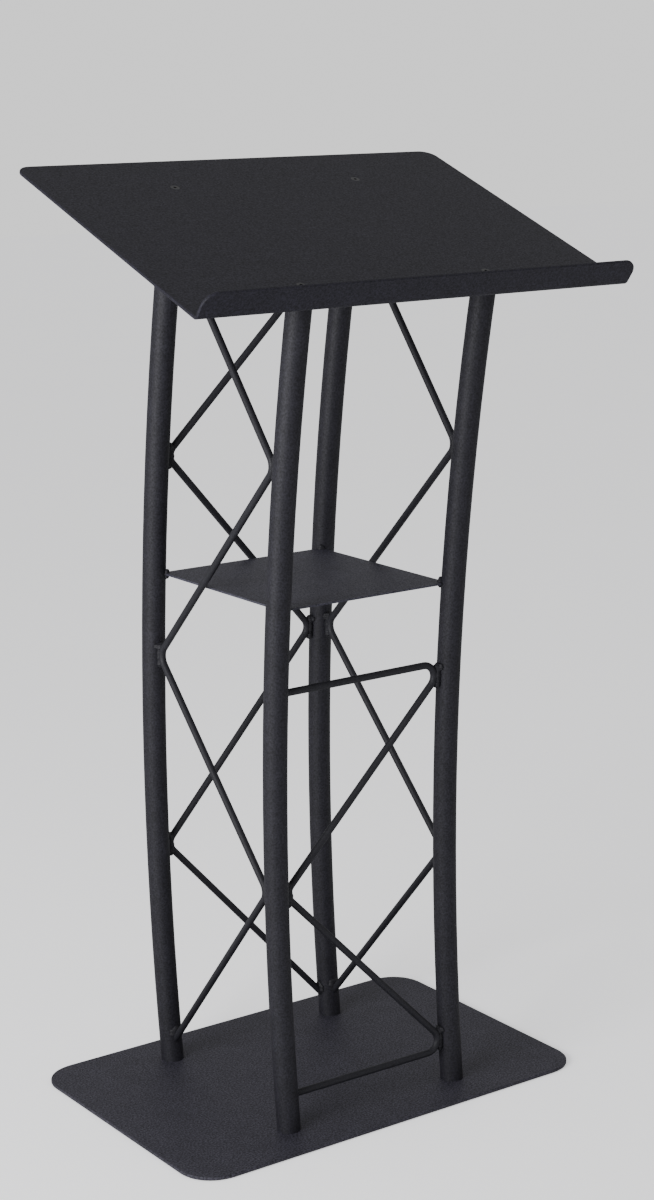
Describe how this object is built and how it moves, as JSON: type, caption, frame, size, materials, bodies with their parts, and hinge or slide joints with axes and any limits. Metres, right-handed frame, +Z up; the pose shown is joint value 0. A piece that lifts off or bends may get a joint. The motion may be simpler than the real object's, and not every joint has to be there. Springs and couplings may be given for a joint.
{
  "type": "lectern stand",
  "caption": "Free-standing steel lectern with a flat base plate, bowed tube legs laced with bent rod, an inner shelf and a sloping reading tray with a lip.",
  "frame": {"origin": "middle of the base plate's underside, on the floor", "axes": "+Z up, +X to the right of someone who faces the lectern from the speaker's side, and -Y towards the speaker, the side with the lip"},
  "size_m": [0.635, 0.5145, 1.2384],
  "materials": {
    "base_coating": "satin black powder coat with a fine texture",
    "tray_coating": "satin black powder coat with a fine texture",
    "shelf_coating": "satin black powder coat with a fine texture",
    "leg_coating": "satin black powder coat with a fine texture",
    "rod_coating": "satin black powder coat",
    "weld_coating": "satin black powder coat over the weld bead",
    "bare_steel": "turned, uncoated",
    "screw_black": "blackened steel"
  },
  "bodies": {
    "root": {"base_plate": "base_coating", "reading_tray": "tray_coating", "shelf_plate": "shelf_coating", "leg_front_left": "leg_coating", "leg_front_right": "leg_coating", "leg_back_left": "leg_coating", "leg_back_right": "leg_coating", "top_plug_front_left": "bare_steel", "top_plug_front_right": "bare_steel", "top_plug_back_left": "bare_steel", "top_plug_back_right": "bare_steel", "foot_plug_front_left": "bare_steel", "foot_plug_front_right": "bare_steel", "foot_plug_back_left": "bare_steel", "foot_plug_back_right": "bare_steel", "lacing_rod_left": "rod_coating", "lacing_rod_right": "rod_coating", "lacing_rod_back": "rod_coating", "lacing_rod_front": "rod_coating", "rod_welds_left": "weld_coating", "rod_welds_right": "weld_coating", "rod_welds_back": "weld_coating", "rod_welds_front": "weld_coating", "shelf_welds": "weld_coating", "tray_screws": "screw_black", "base_screws": "screw_black"}
  },
  "joints": []
}
